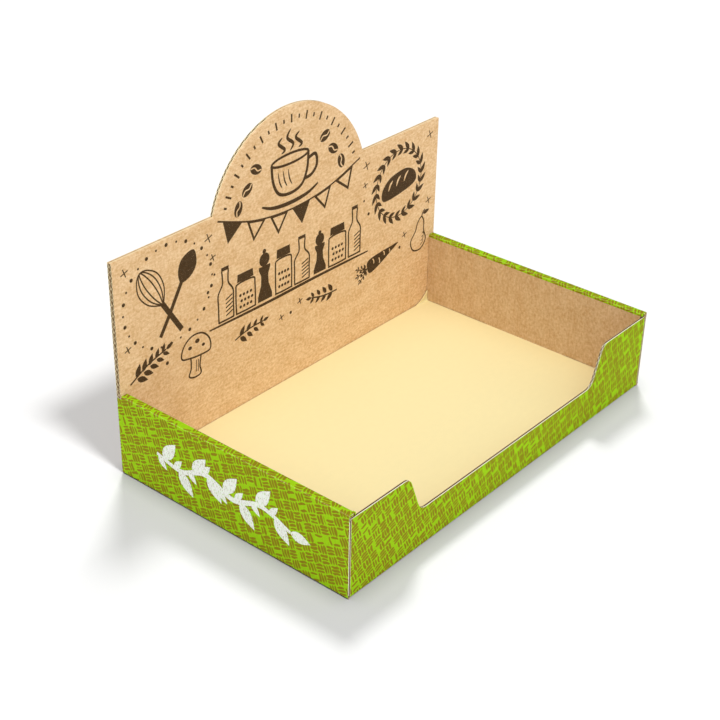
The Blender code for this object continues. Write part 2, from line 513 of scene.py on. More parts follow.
def reaches(outline, axis, at):
    """Where a line across the outline enters and leaves it. axis is the one that it keeps still."""
    other = 1 - axis
    hits = []
    for p, q in pairs_of(outline):
        if (p[axis] - at) * (q[axis] - at) < 0:
            share = (at - p[axis]) / (q[axis] - p[axis])
            hits.append(p[other] + share * (q[other] - p[other]))
    return sorted(hits)


# Boards

def cut_across(bm, axis, way, at, clear=False):
    """Cuts a line across a mesh, square to axis and so far out on the side of way, 1 or -1. clear
    takes away what lies past it."""
    normal = Vector((way, 0, 0)) if axis == 0 else Vector((0, way, 0))
    bmesh.ops.bisect_plane(
        bm, geom=bm.verts[:] + bm.edges[:] + bm.faces[:], dist=TOUCH,
        plane_co=normal * at, plane_no=normal, clear_outer=clear,
    )


def extrude(bm, faces, by):
    raised = bmesh.ops.extrude_face_region(bm, geom=faces)["geom"]
    lifted = [v for v in raised if isinstance(v, bmesh.types.BMVert)]
    bmesh.ops.translate(bm, verts=lifted, vec=by)


def map_blank(bm, spot):
    """Makes the UV map. spot gives a vertex's place in the flat blank."""
    layer = bm.loops.layers.uv.new(BLANK)
    for face in bm.faces:
        for loop in face.loops:
            loop[layer].uv = spot(loop.vert)


def add_object(name, data):
    made = bpy.data.objects.new(name, data)
    bpy.context.scene.collection.objects.link(made)
    return made


def add_mesh(name, bm, finishes):
    mesh = bpy.data.meshes.new(name)
    bm.to_mesh(mesh)
    bm.free()
    for finish in finishes:
        mesh.materials.append(finish)
    return add_object(name, mesh)


def merge_shell(board, bm):
    """Puts a finished shell into the board."""
    bmesh.ops.recalc_face_normals(bm, faces=bm.faces)
    mesh = bpy.data.meshes.new("shell")
    bm.to_mesh(mesh)
    bm.free()
    board.from_mesh(mesh)
    bpy.data.meshes.remove(mesh)


def cut_print(bm, outline, prints, height, plain):
    """Cuts the face of a liner along its print. prints are (finish, points in mm), and a later one
    covers an earlier."""
    shapes = [(plain, [p / MM for p in outline])] + prints
    spots, faces = [], []
    for _, shape in shapes:
        area = sum(p[0] * q[1] - q[0] * p[1] for p, q in pairs_of(shape))
        ordered = shape if area > 0 else shape[::-1]
        faces.append(list(range(len(spots), len(spots) + len(ordered))))
        spots += vectors(ordered)
    found, _, cells, _, _, covers = delaunay_2d_cdt(spots, [], faces, 1, PRINT_TOUCH)
    verts = [bm.verts.new((p.x * MM, p.y * MM, height)) for p in found]
    for cell, cover in zip(cells, covers):
        if 0 in cover and len(set(cell)) == 3:
            bm.faces.new([verts[i] for i in cell]).material_index = shapes[max(cover)][0]
    bmesh.ops.delete(bm, geom=[v for v in verts if not v.link_faces], context="VERTS")


def add_liner(
    board, outline, inside, trims=(), pinches=(), prints=(), glue=0.0, seam=0.0, inside_rim=INSIDE,
):
    """One liner of a board, cut to the outline. trims are (axis, limit, direction to cut away), and
    pinches are (axis, edge, direction of the edge), where the inside liner is crushed down to the
    crease. glue is a film on the outside liner. The liner's faces hidden inside the board, and its
    side edges up to the height of seam, take the dark flute brown as painted shade. inside_rim is the finish
    of the inside liner's cut edge."""
    bm = bmesh.new()
    shown, hidden = (BOARD, BOARD - LINER) if inside else (-glue, LINER)
    plain = INSIDE if inside else OUTSIDE
    if prints:
        cut_print(bm, outline, prints, shown, plain)
    else:
        bm.faces.new([bm.verts.new((p.x, p.y, shown)) for p in outline]).material_index = plain
    for axis, limit, way in trims:
        cut_across(bm, axis, way, limit * way, clear=True)
    for axis, edge, way in pinches:
        for share in (0.5, 1.0):
            cut_across(bm, axis, way, edge * way - PINCH * share)
    front = set(bm.faces)
    extrude(bm, bm.faces[:], (0, 0, hidden - shown))
    bm.normal_update()
    for face in bm.faces:
        if face not in front:
            rim = any(abs(vert.co.z - shown) < NUDGE for vert in face.verts)
            glued = abs(face.normal.x) > 0.5 and face.calc_center_median().y < seam
            # Hidden faces and glued side edges get the dark flute brown: painted shade.
            dark = glued or not rim
            face.material_index = SHADED_FLUTE if dark else inside_rim if inside else RAW
    if pinches:
        for vert in bm.verts:
            depth = max(
                (vert.co[axis] * way - (edge * way - PINCH)) / PINCH for axis, edge, way in pinches
            )
            if depth > 0:
                vert.co.z -= (BOARD - PINCHED - LINER) * depth * depth * (3 - 2 * depth)
    merge_shell(board, bm)


def add_flutes(board, outline, axis, start, end, hit=0, first=-1):
    """The fluted sheet, row by row between start and end. axis is the one that the rows follow each
    other on, hit chooses the stretch where a row meets the outline more than twice, and first the
    liner that the waves start from: -1 the outside one, 1 the inside one."""
    waves = max(1, round((end - start) / FLUTE_PITCH))
    bm = bmesh.new()
    bmesh.ops.create_grid(bm, x_segments=1, y_segments=waves * FLUTE_SAMPLES, size=0.5)
    swing = (BOARD - 2 * LINER - FLUTE_SHEET) / 2
    for vert in bm.verts:
        share = vert.co.y + 0.5
        row = start + share * (end - start)
        ends = reaches(outline, axis, row)[hit:hit + 2]
        across = ends[1] if vert.co.x > 0 else ends[0]
        height = BOARD / 2 + first * swing * math.cos(2 * math.pi * waves * share)
        vert.co = (across, row, height) if axis == 1 else (row, across, height)
    bmesh.ops.solidify(bm, geom=bm.faces[:], thickness=FLUTE_SHEET)
    bmesh.ops.translate(bm, verts=bm.verts[:], vec=(0, 0, FLUTE_SHEET / 2))
    bm.normal_update()
    # The fluted sheet's faces take the dark flute brown, painted shade for the board's hollows; its cut rims
    # stay pale.
    for face in bm.faces:
        face.material_index = SHADED_FLUTE if abs(face.normal.z) > 0.5 else RAW
    merge_shell(board, bm)


def add_block(board, outline, low, high, finish):
    """A solid bit of board between two heights."""
    bm = bmesh.new()
    foot = bm.faces.new([bm.verts.new((*spot, low)) for spot in outline])
    extrude(bm, [foot], (0, 0, high - low))
    for face in bm.faces:
        face.material_index = finish
    merge_shell(board, bm)


def crush_edge(board, start, end, finish):
    """Shuts the board along a cut edge, with the board on the left on the way from start to end."""
    ahead = (end - start).normalized()
    inward = ahead.orthogonal() * CRUSHED
    outline = (start, end, end + inward, start + inward)
    add_block(board, outline, LINER - NUDGE, BOARD - LINER + NUDGE, finish)


def finish_board(name, board, place, finishes, body, node):
    """Turns a board drawn in the flat into a piece that stands up and rides its body."""
    standing, flat = place
    map_blank(board, lambda vert: (flat @ vert.co).xy)
    bmesh.ops.transform(board, matrix=standing, verts=board.verts)
    piece = add_mesh(name, board, finishes)
    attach(piece, body)
    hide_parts(node)


def hang(parent, crease, spin):
    """Where a panel stands, and where it lies in the blank, from its parent's two places."""
    at = Matrix.Translation(crease) @ Matrix.Rotation(spin, 4, "Z")
    standing, flat = parent
    return standing @ at @ Matrix.Rotation(UP, 4, "X"), flat @ at


def make_crease(name, place, span, reach, finishes, bodies, radius=FOLD_RADIUS):
    """The printed liner that runs round a fold, from the parent panel to the panel that stands at
    place. span is where it starts and ends along the crease, and reach how far it goes on the
    parent and on the panel."""
    on_parent, on_panel = reach
    turns = [UP * step / FOLD_STEPS for step in range(FOLD_STEPS + 1)]
    shares = [turn / UP * 2 - 1 for turn in turns]

    def bend(size):
        return [(radius - size * math.cos(turn), radius - size * math.sin(turn)) for turn in turns]

    outer = [(0.0, on_parent), *bend(radius), (on_panel, 0.0)]
    inner = [(LINER, on_parent), *bend(radius - LINER), (on_panel, LINER)]
    rolled = [(share * radius, 1 - abs(share)) for share in shares]
    rolled = [(-on_parent, 0.0), *rolled, (on_panel, 0.0)]

    bm = bmesh.new()
    outside = [bm.verts.new((span[0], *spot)) for spot in outer]
    lining = [bm.verts.new((span[0], *spot)) for spot in inner]
    for (a, b), (c, d) in zip(pairs_of(outside, False), pairs_of(lining, False)):
        bm.faces.new((a, b, d, c))
    extrude(bm, bm.faces[:], (span[1] - span[0], 0, 0))
    bmesh.ops.recalc_face_normals(bm, faces=bm.faces)
    crest = bm.verts.layers.float.new(CREST)
    unrolled = bm.verts.layers.float.new("unrolled")
    for vert in bm.verts:
        for out, lined, (along, top) in zip(outer, inner, rolled):
            if any((vert.co.yz - Vector(spot)).length < TOUCH for spot in (out, lined)):
                vert[crest], vert[unrolled] = top, along
    for face in bm.faces:
        along = sum(vert[unrolled] for vert in face.verts) / len(face.verts)
        shown = face.normal.y + face.normal.z < -0.3 and abs(face.normal.x) < 0.5
        face.material_index = (1 if along > 0 else 0) if shown else 2
    standing, flat = place
    map_blank(bm, lambda vert: (flat @ Vector((vert.co.x, vert[unrolled], 0))).xy)
    bm.verts.layers.float.remove(unrolled)
    bmesh.ops.transform(bm, matrix=standing, verts=bm.verts)
    piece = add_mesh(name, bm, finishes)
    if len(bodies) == 1:
        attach(piece, bodies[0])
    else:
        start = standing @ Vector((0, 0, radius))
        end = standing @ Vector((0, radius, 0))
        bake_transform(piece, bodies[0], bodies[1], start=tuple(start), end=tuple(end))


# Print

def smooth_line(points, steps=6, closed=False):
    """A smooth line through the points."""
    spots = vectors(points)
    padded = spots[-1:] + spots + spots[:2] if closed else spots[:1] + spots + spots[-1:]
    line = []
    for a, b, c, d in zip(padded, padded[1:], padded[2:], padded[3:]):
        bow, twist = 2 * a - 5 * b + 4 * c - d, 3 * b - a - 3 * c + d
        for step in range(steps):
            t = step / steps
            line.append(0.5 * (2 * b + (c - a) * t + bow * t * t + twist * t ** 3))
    return line if closed else line + spots[-1:]


def ribbon(line, width, closed=False, taper=0.0):
    """A pen stroke along a line, in short lengths. taper thins both its ends."""
    count = len(line)
    sides = []
    for i, spot in enumerate(line):
        before = line[i - 1] if closed or i else spot
        after = line[(i + 1) % count] if closed or i < count - 1 else spot
        ahead = (after - before).normalized()
        share = 1.0 if closed else 1 - taper * abs(2 * i / (count - 1) - 1) ** 2
        off = ahead.orthogonal() * width / 2 * share
        sides.append((spot + off, spot - off))
    quads = [[*p, *q] for p, q in pairs_of(sides, closed)]
    return [[quad[i] for i in convex_hull_2d(quad)] for quad in quads]


def disc(x, y, radius, stretch=1.0, steps=18):
    turns = [2 * math.pi * step / steps for step in range(steps)]
    return [[around(x, y, turn, radius, stretch) for turn in turns]]


def ring(x, y, radius, width, stretch=1.0, steps=28):
    return ribbon(disc(x, y, radius, stretch, steps)[0], width, closed=True)


def leaf(x, y, turn, length, width, steps=7):
    """A pointed leaf that grows from (x, y) the way that turn says, in degrees."""
    ahead = around(0, 0, math.radians(turn), 1)
    side = ahead.orthogonal()
    root = Vector((x, y))
    upper, lower = [], []
    for step in range(1, steps):
        share = step / steps
        spot = root + ahead * length * share
        swell = side * width / 2 * math.sin(math.pi * share ** 0.8)
        upper.append(spot + swell)
        lower.append(spot - swell)
    return [[root] + lower + [root + ahead * length] + upper[::-1]]


def moved(shapes, x, y, turn=0.0, size=1.0):
    """The shapes made larger, turned by some degrees and put at (x, y)."""
    spin = Matrix.Rotation(math.radians(turn), 2)
    return [[spin @ Vector(p) * size + Vector((x, y)) for p in shape] for shape in shapes]


def line_art(points, width, closed=False, taper=0.0, steps=6):
    """A pen stroke along a smooth line through the points."""
    return ribbon(smooth_line(points, steps, closed), width, closed, taper)


def straight(start, end, width):
    """A straight stroke that goes half its width past both its ends."""
    p, q = vectors((start, end))
    past = (q - p).normalized() * width / 2
    return ribbon([p - past, q + past], width)


def sprig(length, pairs, leaf_length, leaf_width, width):
    """A stem along +X with pairs of leaves and one at its tip."""
    shapes = line_art([(0, 0), (length * 0.5, length * 0.05), (length, 0)], width, steps=4)
    for i in range(pairs):
        share = i / (pairs - 1)
        x, size = length * (0.18 + 0.72 * share), 1 - 0.35 * share
        for side in (1, -1):
            shapes += leaf(x, 0.3 * side, 48 * side, leaf_length * size, leaf_width * size)
    return shapes + leaf(length, 0, 0, leaf_length * 0.7, leaf_width * 0.7)


def cup():
    shapes = line_art(mirrored([(-13, 9), (-12, 0), (-8, -7)], [(0, -9)]), 1.7)
    shapes += ring(0, 9, 13, 1.3, 0.2)
    shapes += line_art([(12.3, 5), (18, 6), (19, 0), (15, -4), (9.5, -4.5)], 1.8)
    shapes += line_art(mirrored([(-20, -10), (-12, -13)], [(0, -14)]), 2.2, taper=0.6)
    for x, top in ((-6, 21), (0, 24), (6, 21)):
        middle = (top + 13) / 2
        steam = [(x, 13), (x + 2.2, middle - 2.4), (x - 2.0, middle + 1.6), (x + 0.6, top)]
        shapes += line_art(steam, 1.8, taper=0.8)
    for x in (-7, -3.5, 0):
        shapes += line_art([(x - 1.5, 4), (x - 0.6, -1), (x + 1.2, -4.6)], 0.9, taper=0.7, steps=4)
    return shapes


def bean():
    """A coffee bean, and the pale cut along it."""
    cut = [(-4.8, -0.3), (-1.6, 0.8), (1.6, -0.8), (4.8, 0.3)]
    return disc(0, 0, 5.2, 0.66), line_art(cut, 0.9, steps=4)


def bottle(height, width):
    w, h = width / 2, height
    neck = w * 0.38
    half = [
        (-w, 0.8), (-w, h * 0.3), (-w, h * 0.52),
        (-w * 0.42, h * 0.68), (-neck, h * 0.82), (-neck, h * 0.95),
    ]
    bottom = [(w * 0.8, 0), (-w * 0.8, 0)]
    shapes = line_art(mirrored(half) + bottom, 1.3, closed=True, steps=4)
    stopper = w * 0.5
    shapes.append(vectors(mirrored([(-stopper, h * 0.93)]) + [(stopper, h), (-stopper, h)]))
    for i in range(5):
        y = h * (0.08 + 0.075 * i)
        shapes += straight((w * 0.05, y), (w * 0.82, y + h * 0.05), 1.0)
    return shapes


def jar(height, width):
    w, h = width / 2, height
    half = [(-w, 1.5), (-w, h * 0.6), (-w * 0.8, h * 0.76)]
    bottom = [(w * 0.85, 0), (-w * 0.85, 0)]
    shapes = line_art(mirrored(half) + bottom, 1.3, closed=True, steps=4)
    shapes.append(vectors(mirrored([(-w * 0.86, h * 0.8)]) + [(w * 0.8, h), (-w * 0.8, h)]))
    for i in range(4):
        for k in range(3):
            x = -w * 0.55 + i * w * 0.37 + (k % 2) * 1.0
            shapes += disc(x, h * 0.14 + k * h * 0.15, 1.15, steps=8)
    return shapes


def mill(height, width):
    w, h = width / 2, height
    half = [
        (w, 0), (w, h * 0.1), (w * 0.55, h * 0.32),
        (w * 0.5, h * 0.5), (w * 0.8, h * 0.62), (w * 0.8, h * 0.68),
    ]
    shapes = [vectors(mirrored(half))]
    shapes += disc(0, h * 0.80, w * 0.72)
    shapes += disc(0, h * 0.96, w * 0.26, steps=10)
    return shapes


def whisk():
    shapes = straight((0, -24), (0, -4), 3.0)
    for half in (2.2, 5.0, 7.6):
        loop = [(0, -4), (-half * 0.8, 4), (-half, 13), (-half * 0.6, 20)]
        shapes += line_art(mirrored(loop, [(0, 23)]), 0.8)
    return shapes


def spoon():
    shapes = line_art([(0, -24), (0.3, -10), (0, 8)], 2.4)
    return shapes + [smooth_line([(0, 5)] + mirrored([(-5, 10), (-5.6, 17)], [(0, 23)]), 4, True)]


def mushroom():
    cap = mirrored([(-11, 0), (-10, 7), (-4, 12)]) + [(4, -1.5), (-4, -1.5)]
    stalk = mirrored([(-4, -1.5), (-3.4, -8), (-4.6, -13)], [(0, -14.5)])
    shapes = line_art(cap, 1.1, closed=True)
    shapes += line_art(stalk, 1.1)
    for x, y, r in ((-5, 5, 1.5), (0.5, 8, 1.8), (5.4, 4.4, 1.3)):
        shapes += disc(x, y, r, 0.8, 12)
    for x in (0.5, 2.0):
        shapes += straight((x, -4), (x + 0.2, -11), 0.6)
    return shapes


def carrot():
    """A carrot that points along +X, and the pale cuts across it."""
    upper = [(0, 4.6), (10, 3.8), (20, 1.8), (28, 0)]
    lower = [(20, -2.0), (10, -4.0), (0, -4.6), (-2, 0)]
    body = [smooth_line(upper + lower, 5, True)]
    cuts = []
    for x, y, w in ((4, 3.4, 4), (9, -3.0, 4.4), (14, 2.2, 3.6), (19, -1.3, 2.6)):
        end = (x + 0.4, y * 0.5 - math.copysign(w * 0.5, y))
        cuts += line_art([(x, y), (x + 0.7, y * 0.5), end], 0.8, steps=3)
    top = []
    for turn in (150, 180, 210):
        top += moved(sprig(9, 3, 3.6, 1.7, 0.7), -2, 0, turn)
    return body + top, cuts


def loaf():
    """A loaf, and the pale cuts across its top."""
    crust = mirrored([(-15, -5), (-16, 2), (-9, 7.5)], [(0, 8.6)])
    body = [smooth_line(crust + [(0, -6.5)], 6, True)]
    cuts = []
    for x in (-8.5, -1, 6.5):
        cuts += line_art([(x - 1.5, 0), (x + 0.6, 3.4), (x + 3.2, 5.2)], 1.5, taper=0.8, steps=5)
    return body, cuts


def pear():
    side = [(-3.4, 8), (-4.6, 2), (-8.2, -5), (-5, -11)]
    shapes = line_art([(0, 12)] + mirrored(side, [(0, -12.4)]), 1.1, closed=True)
    shapes += line_art([(0, 12), (0.8, 15), (2.4, 17)], 1.1, steps=4)
    shapes += leaf(1, 14, 20, 7, 3)
    for i in range(4):
        shade = [(3.4, -9 + i * 3), (5.2, -7 + i * 2.6), (5.6 - i * 0.5, -5 + i * 2.7)]
        shapes += line_art(shade, 0.6, steps=3)
    return shapes


def wreath(radius, count=22):
    shapes = []
    for i in range(count):
        turn = 360 * i / count
        root = around(0, 0, math.radians(turn), radius)
        shapes += leaf(*root, turn + 62, 8.5, 3.2)
        shapes += leaf(*root, turn + 128, 7.0, 2.8)
    return shapes + ring(0, 0, radius, 0.7, steps=44)


def flags(points, size, step=6):
    """A string of flags along a sagging line, and the pale holes of two in three."""
    line = smooth_line(points, 10)
    shapes, holes = ribbon(line, 1.2), []
    for number, i in enumerate(range(2, len(line) - step, step)):
        a, b = line[i], line[i + step - 1]
        tip = (a + b) / 2 - (b - a).normalized().orthogonal() * size
        shapes.append([a, b, tip])
        middle = (a + b + tip) / 3
        if number % 3:
            holes.append([middle + (p - middle) * 0.66 for p in (a, b, tip)])
    return shapes, holes


def sparkle(size):
    return straight((-size, 0), (size, 0), 0.8) + straight((0, -size), (0, size), 0.8)


def header_print():
    """The header's line drawings, in mm from the middle of its crease."""
    string, holes = flags(mirrored([(-66, 140), (-34, 129.5)], [(0, 126)]), 14)
    ink, cuts = [], []

    def draw(shapes, *place):
        ink.extend(moved(shapes, *place))

    def draw_cut(drawing, *place):
        draw(drawing[0], *place)
        cuts.extend(moved(drawing[1], *place))

    draw(cup(), -1.5, 149, 0, 1.3)
    for i in range(RAYS):
        turn = math.radians(RAYS_FROM + RAYS_SWEEP * i / (RAYS - 1))
        ends = (60.5, 66.0) if i % 2 else (62.0, 64.6)
        ink += ribbon([around(0, ARCH_CENTRE / MM, turn, radius) for radius in ends], 1.4)
    for place in (
        (-40, 152, 35), (-32, 163, -20), (-48, 142, 70),
        (39, 155, -30), (31, 166, 25), (47, 144, -75),
    ):
        draw_cut(bean(), *place)
    ink += string
    shelf = (
        (bottle, 37, 13), (jar, 27, 17), (mill, 36, 13), (jar, 31, 15),
        (bottle, 33, 14), (mill, 30, 12), (jar, 28, 17), (bottle, 36, 12),
    )
    for i, (make, height, width) in enumerate(shelf):
        draw(make(height, width), -61 + 17.5 * i, 71)
    ink += line_art([(-76, 69.0), (-25, 68.3), (25, 68.7), (76, 68.1)], 2.2, taper=0.5)
    draw(whisk(), -115, 106, 32, 1.2)
    draw(spoon(), -101, 106, -32, 1.2)
    for i in range(BEADS):
        bead = around(-108, 107, 2 * math.pi * i / BEADS, 36, 33 / 36)
        ink += disc(*bead, 1.3 if i % 2 else 0.8, steps=9)
    draw(wreath(24.5), 108, 108)
    draw_cut(loaf(), 108, 107, 8, 1.12)
    draw_cut(carrot(), 78, 55, 14, 1.15)
    draw(mushroom(), -88, 58, -6, 1.1)
    draw(pear(), 133, 61, -10, 1.05)
    draw(sprig(32, 5, 9.5, 4.2, 1.2), -142, 60, 22)
    draw(sprig(26, 4, 8, 3.6, 1.1), -54, 53, 8)
    draw(sprig(26, 4, 8, 3.6, 1.1), 44, 51, 172)
    for x, y, size in (
        (-74, 132, 3.0), (-71, 118, 2.2), (-142, 84, 2.4), (73, 132, 3.0), (142, 84, 2.6),
        (72, 118, 2.0), (7, 57, 2.2), (-141, 134, 2.6), (141, 134, 2.8), (-11, 52, 2.0),
        (116, 66, 2.2),
    ):
        draw(sparkle(size), x, y, 20)
    for x, y, radius in (
        (-76, 96, 1.2), (76, 96, 1.2), (-70, 106, 0.9), (71, 107, 0.9),
        (-2, 52, 1.2), (111, 58, 1.2), (-112, 62, 1.3),
    ):
        ink += disc(x, y, radius, steps=10)
    return [(INK, shape) for shape in ink] + [(INSIDE, shape) for shape in holes + cuts]


def vine_print():
    """The white brushed vine on the left wall, in mm. Towards the header is +X there."""
    stem = smooth_line([(58, 29), (38, 25), (18, 32), (-4, 25), (-26, 31), (-48, 24)], 12)
    shapes = ribbon(stem, 3.6, taper=0.4)
    for number, spot in enumerate(stem[4:-4:7]):
        side = -1 if number % 2 else 1
        shapes += leaf(spot.x, spot.y, 180 - 52 * side, 18, 8.4)
        shapes += leaf(spot.x + 4, spot.y, 180 + 48 * side, 10, 4.4)
    shapes += leaf(*stem[-1], 184, 15, 7)
    return [(INK, shape) for shape in shapes]


# The tray's panels

# kraft is the darker, shaded copy and the facing's kraft the paler, lit copy of one paper: painted light and
# shade.
kraft = make_kraft("kraft_liner", SHADED_KRAFT_TONE)
lit_kraft = make_kraft("painted_lit_kraft_liner", LIT_FACING_TONE)
green = make_green()
white_edge = make_rough_paper("white_liner_edge", WHITE_CUT, 0.4 * MM, 0.4 * MM, 0.86, 1.08)
kraft_edge = make_rough_paper("kraft_liner_edge", KRAFT_CUT, 0.4 * MM, 0.4 * MM, 0.86, 1.08)
# The flute paper's dark brown is painted shade for the board's hollows.
shaded_flute = make_rough_paper("painted_shade_flute_paper", FLUTE_SHADE_BROWN, 2.0 * MM, 0.5 * MM, 0.8, 1.1)
cream = make_cream()
BARE = (kraft, kraft, kraft_edge, shaded_flute)
PRINTED = (green, kraft, white_edge, shaded_flute)
BARE_SLOT = "kraft_board"
PRINTED_SLOT = "green_printed_board"
GROUND = (Matrix.Identity(4), Matrix.Identity(4))
FOLD_REACHES = (FOLD_REACH, FOLD_REACH)


def end_board(outline):
    """The two liners of a panel at an end of the tray."""
    board = bmesh.new()
    add_liner(board, bitten(outline), False, trims=((1, FOLD_REACH, -1),))
    add_liner(board, outline, True, pinches=((1, 0.0, -1),))
    return board


def tucked_board(outline, low, high):
    """A panel that is tucked in behind a fold, with its flutes across it from low to high."""
    board = bmesh.new()
    add_liner(board, outline, False, trims=((1, FOLD_REACH, -1),))
    add_liner(board, outline, True, pinches=((1, PAST_FOLD, -1),))
    clear = [Vector((p.x, max(p.y, PAST_FOLD + PINCH))) for p in outline]
    add_flutes(board, clear, 0, low + NUDGE, high - NUDGE)
    return board


def make_base():
    """The floor of the tray, which has a crease on all four sides."""
    def all_round(x, y):
        return (0, x, 1), (0, -x, -1), (1, y, 1), (1, -y, -1)

    half, reach = BETWEEN_WALLS / 2, BETWEEN_ENDS / 2
    outline = oblong(BETWEEN_WALLS, -reach, reach)
    board = bmesh.new()
    trims = all_round(WIDTH / 2 - FOLD_REACH, DEPTH / 2 - FOLD_REACH)
    add_liner(board, outline, False, trims=trims)
    add_liner(board, outline, True, pinches=all_round(half, reach))
    inset = oblong(BETWEEN_WALLS - 2 * PINCH, -reach + PINCH, reach - PINCH)
    add_flutes(board, inset, 1, -reach + PINCH + NUDGE, reach - PINCH - NUDGE)
    finish_board("base_board", board, GROUND, BARE, "base", "base_panel")


def make_end_tabs(names, end, body, finish):
    """The two tabs of an end panel, and the liner round their folds."""
    for name, side in zip(names, (1, -1)):
        place = hang(end, (side * BETWEEN_WALLS / 2, 0, 0), -side * UP)
        span = sorted((-side * PAST_FOLD, -side * TAB_HEIGHT))
        board = tucked_board(tab_outline(-side), *span)
        finish_board(f"{name}_board", board, place, BARE, body, name)
        make_crease(
            f"{name}_fold", place, span, (TAB_BITE, FOLD_REACH), (finish, kraft, kraft),
            (body,), TAB_FOLD_RADIUS,
        )


def make_front():
    """The notched front panel with its tabs."""
    place = hang(GROUND, (0, -DEPTH / 2, 0), math.pi)
    outline = front_outline()
    board = end_board(outline)
    add_flutes(board, outline, 1, PINCH, LIP - NUDGE)
    for hit in (0, 2):
        add_flutes(board, outline, 1, LIP + NUDGE, FRONT_HEIGHT - NUDGE, hit)
    finish_board("front_board", board, place, PRINTED, "front", "front_panel")
    make_end_tabs(("front_left_tab", "front_right_tab"), place, "front", green)
    half = BETWEEN_WALLS / 2
    make_crease(
        "front_fold", place, (-half, half), FOLD_REACHES, (kraft, green, kraft),
        ("base", "front"),
    )


def add_header_flutes(board, outline, foot, first, shut):
    """The header's fluted sheet. The cut has crushed it shut along the shoulders, and on the arch
    where the edge is more level than shut, from 1 for a level edge to 0 for an upright one."""
    inset = [Vector((p.x * (1 - 2 * FLUTE_INSET / WIDTH), p.y)) for p in outline]
    top = ARCH_CENTRE + ARCH_RADIUS - CRUSHED
    for start, end in ((foot, SEAT), (SEAT, SHOULDER - CRUSHED), (SHOULDER, top)):
        add_flutes(board, inset, 1, start + NUDGE, end - NUDGE, first=first)
    for p, q in pairs_of(outline, False):
        ahead = (q - p).normalized()
        if p.y > SHOULDER - NUDGE and q.y > SHOULDER - NUDGE and -ahead.x > shut:
            crush_edge(board, p, q, INSIDE)


def make_header():
    """The back panel of the blank, and the printed facing glued on its front."""
    place = hang(GROUND, (0, DEPTH / 2, 0), 0.0)
    half = BETWEEN_WALLS / 2
    outline = header_outline(half, 0.0)
    board = end_board(outline)
    add_header_flutes(board, outline, PINCH, -1, BACK_SHUT)
    finish_board("header_board", board, place, BARE, "header", "header_panel")

    outline = header_outline(half - PAST_FOLD, PAST_FOLD)
    board = bmesh.new()
    add_liner(board, outline, False, glue=CLEARANCE - NUDGE, seam=SHOULDER)
    add_liner(board, outline, True, prints=header_print())
    add_header_flutes(board, outline, PAST_FOLD, 1, FACING_SHUT)
    standing, flat = place
    front = (standing @ Matrix.Translation((0, 0, PAST_FOLD)), flat)
    finishes = (kraft, lit_kraft, kraft_edge, shaded_flute, make_ink())
    finish_board(
        "header_facing_board", board, front, finishes, "header",
        "header_facing",
    )
    make_end_tabs(("back_right_tab", "back_left_tab"), place, "header", kraft)
    make_crease(
        "header_fold", place, (-half, half), FOLD_REACHES, (kraft, kraft, kraft),
        ("base", "header"),
    )


def outer_wall(prints):
    """The outside of a roll-over wall."""
    board = bmesh.new()
    end = WALL - PAST_FOLD
    outline = oblong(DEPTH, 0.0, end)
    trims = ((1, FOLD_REACH, -1), (1, WALL - FOLD_REACH, 1))
    add_liner(board, outline, False, trims=trims, prints=prints)
    add_liner(board, outline, True, pinches=((1, 0.0, -1), (1, end, 1)), inside_rim=RAW)
    inset = oblong(DEPTH, PINCH, end - PINCH)
    add_flutes(board, inset, 0, -DEPTH / 2 + NUDGE, DEPTH / 2 - NUDGE)
    return board


def ledge(side):
    """The top of a roll-over wall, shut at both ends and filled in past the lining's front end."""
    board = bmesh.new()
    outline = oblong(LEDGE_LENGTH, 0.0, LEDGE)
    add_liner(board, outline, False, trims=((1, LEDGE_REACH, -1), (1, LEDGE - LEDGE_REACH, 1)))
    core = oblong(LEDGE_LENGTH, FOLD_RADIUS, LEDGE - FOLD_RADIUS)
    add_liner(board, core, True)
    flutes_end = LEDGE_LENGTH / 2 - CRUSHED - NUDGE
    add_flutes(board, core, 0, -flutes_end, flutes_end)
    crush_edge(board, core[1], core[2], OUTSIDE)
    crush_edge(board, core[3], core[0], OUTSIDE)
    end = side * LEDGE_LENGTH / 2
    start = end - side * (PAST_FOLD - CLEARANCE / 2)
    low, high = LEDGE - LEDGE_REACH, LEDGE
    corner = vectors([(start, low), (end, low), (end, high), (start, high)])
    add_block(board, corner, 0.0, BOARD, OUTSIDE)
    return board


def make_side(name, side, prints, extra):
    """A roll-over wall: up the outside, across the top and down the inside."""
    outer = hang(GROUND, (side * WIDTH / 2, 0, 0), -side * UP)
    top = hang(outer, (side * PAST_HEADER / 2, WALL, 0), 0.0)
    lining = hang(top, (-side * PAST_FOLD / 2, LEDGE, 0), 0.0)
    outside = outer_wall(prints)
    inside = tucked_board(inner_outline(), -INNER_LENGTH / 2, INNER_LENGTH / 2)
    bodies = ("base", f"{name}_wall", f"{name}_top", f"{name}_lining")
    for part, node, board, place, finishes, slot, body in (
        ("outer", "outer_wall", outside, outer, PRINTED + extra, PRINTED_SLOT, bodies[1]),
        ("ledge", "ledge", ledge(side), top, PRINTED, PRINTED_SLOT, bodies[2]),
        ("inner", "inner_wall", inside, lining, BARE, BARE_SLOT, bodies[3]),
    ):
        finish_board(f"{name}_{part}_board", board, place, finishes, body, f"{name}_{node}")
    for part, place, length, reach, parent_finish, joined in (
        ("wall", outer, DEPTH, FOLD_REACHES, kraft, bodies[0:2]),
        ("ledge", top, LEDGE_LENGTH, (FOLD_REACH, LEDGE_REACH), green, bodies[1:3]),
        ("lining", lining, INNER_LENGTH, (LEDGE_REACH, FOLD_REACH), green, bodies[2:4]),
    ):
        make_crease(
            f"{name}_{part}_fold", place, (-length / 2, length / 2), reach,
            (parent_finish, green, kraft), joined,
        )


